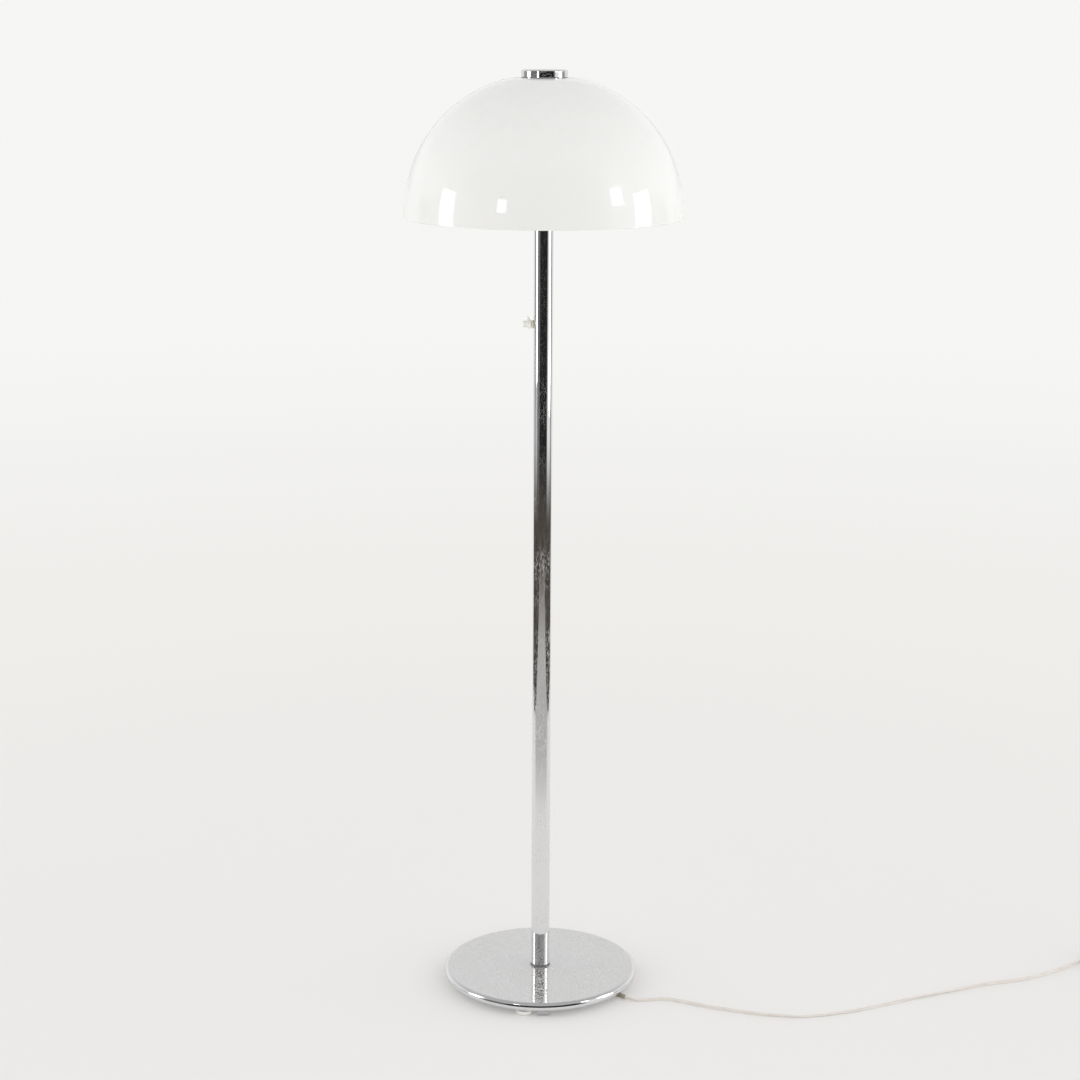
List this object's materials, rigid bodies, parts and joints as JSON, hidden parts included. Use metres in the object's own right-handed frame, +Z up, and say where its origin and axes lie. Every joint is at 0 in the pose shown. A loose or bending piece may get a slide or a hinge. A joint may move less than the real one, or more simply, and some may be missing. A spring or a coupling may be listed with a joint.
{
  "type": "mushroom floor lamp",
  "caption": "Floor lamp with a domed opal shade, chromed tube stem and weighted round base, a rotary switch on the stem and lampholders under the shade.",
  "frame": {"origin": "on the floor under the stem, at the middle of the base", "axes": "+Z up along the stem, front of the lamp towards -Y, switch towards -X"},
  "size_m": [1.1434, 0.4, 1.3712],
  "materials": {
    "chrome": "chrome plate, lightly pitted and scratched",
    "cast_iron": "raw grey iron, blacked",
    "glide_plastic": "moulded white plastic",
    "bright_steel": "zinc-plated steel",
    "black_rubber": "matt black rubber",
    "bush_plastic": "tan soft plastic",
    "cord_plastic": "pale aged flex",
    "plug_plastic": "moulded cream plastic",
    "plug_brass": "nickelled brass",
    "bakelite": "dark moulded bakelite",
    "brass": "dull brass",
    "knob_plastic": "aged cream plastic",
    "painted_cup": "white enamel",
    "porcelain": "unglazed porcelain",
    "bulb_cap": "rolled aluminium",
    "bulb_glass": "frosted inside",
    "opal_shade": "glossy opal acrylic"
  },
  "bodies": {
    "stand": {"base_cover": "chrome", "base_weight": "cast_iron", "centre_rod": "bright_steel", "clamp_screws": "bright_steel", "clip_screws": "bright_steel", "cluster_cup": "painted_cup", "cluster_lid": "painted_cup", "cord_bush": "bush_plastic", "cord_clamp": "bright_steel", "cord_coil": "cord_plastic", "cord_lead": "cord_plastic", "cord_tail": "cord_plastic", "edge_clips": "bright_steel", "feed_cable": "cord_plastic", "foot_plug": "bright_steel", "foot_screws": "bright_steel", "glide_screws": "bright_steel", "glides": "glide_plastic", "holder_1_core": "porcelain", "holder_1_shell": "bakelite", "holder_1_sleeve": "brass", "holder_2_core": "porcelain", "holder_2_shell": "bakelite", "holder_2_sleeve": "brass", "holder_3_core": "porcelain", "holder_3_shell": "bakelite", "holder_3_sleeve": "brass", "holder_contacts": "brass", "holder_leads": "cord_plastic", "holder_nipples": "bright_steel", "hub_nipple": "bright_steel", "hub_nut": "bright_steel", "lamp_cable": "cord_plastic", "lid_screws": "bright_steel", "plug_body": "plug_plastic", "plug_pins": "plug_brass", "rod_nuts": "bright_steel", "seat_nut": "bright_steel", "seat_pad": "black_rubber", "shade_seat": "bright_steel", "stem_gasket": "black_rubber", "stem_tube": "chrome", "switch_body": "bakelite", "switch_bush": "brass", "switch_nut": "brass", "terminal_block": "porcelain", "top_plug": "bright_steel"},
    "switch_knob": {"switch_spindle": "brass", "switch_knob": "knob_plastic"},
    "shade": {"shade": "opal_shade"},
    "cap_washer": {"cap_washer": "black_rubber"},
    "cap": {"cap": "chrome"},
    "bulb_1": {"bulb_1_glass": "bulb_glass", "bulb_1_cap": "bulb_cap"},
    "bulb_2": {"bulb_2_glass": "bulb_glass", "bulb_2_cap": "bulb_cap"},
    "bulb_3": {"bulb_3_glass": "bulb_glass", "bulb_3_cap": "bulb_cap"}
  },
  "joints": [
    {"name": "switch_turn", "type": "hinge", "parent": "stand", "child": "switch_knob", "pos_m": [-0.02, 0, 1.012], "axis": [1, 0, 0], "range_deg": [0, 270]},
    {"name": "shade_lift", "type": "slide", "parent": "stand", "child": "shade", "axis": [0, 0, 1], "range_m": [0, 0.22]},
    {"name": "cap_rise", "type": "slide", "parent": "shade", "child": "cap_washer", "axis": [0, 0, 1], "range_m": [0, 0.00651]},
    {"name": "cap_turn", "type": "hinge", "parent": "cap_washer", "child": "cap", "pos_m": [0, 0, 1.366], "axis": [0, 0, 1], "range_deg": [0, 2340]},
    {"name": "bulb_1_turn", "type": "hinge", "parent": "stand", "child": "bulb_1", "pos_m": [0, 0, 1.208], "axis": [0, 0.9659, 0.2588], "range_deg": [0, 900]},
    {"name": "bulb_2_turn", "type": "hinge", "parent": "stand", "child": "bulb_2", "pos_m": [0, 0, 1.208], "axis": [-0.8365, -0.483, 0.2588], "range_deg": [0, 900]},
    {"name": "bulb_3_turn", "type": "hinge", "parent": "stand", "child": "bulb_3", "pos_m": [0, 0, 1.208], "axis": [0.8365, -0.483, 0.2588], "range_deg": [0, 900]}
  ],
  "couplings": [
    {"joint": "cap_rise", "follows": "cap_turn", "m_per_rad": 0.00015915}
  ]
}
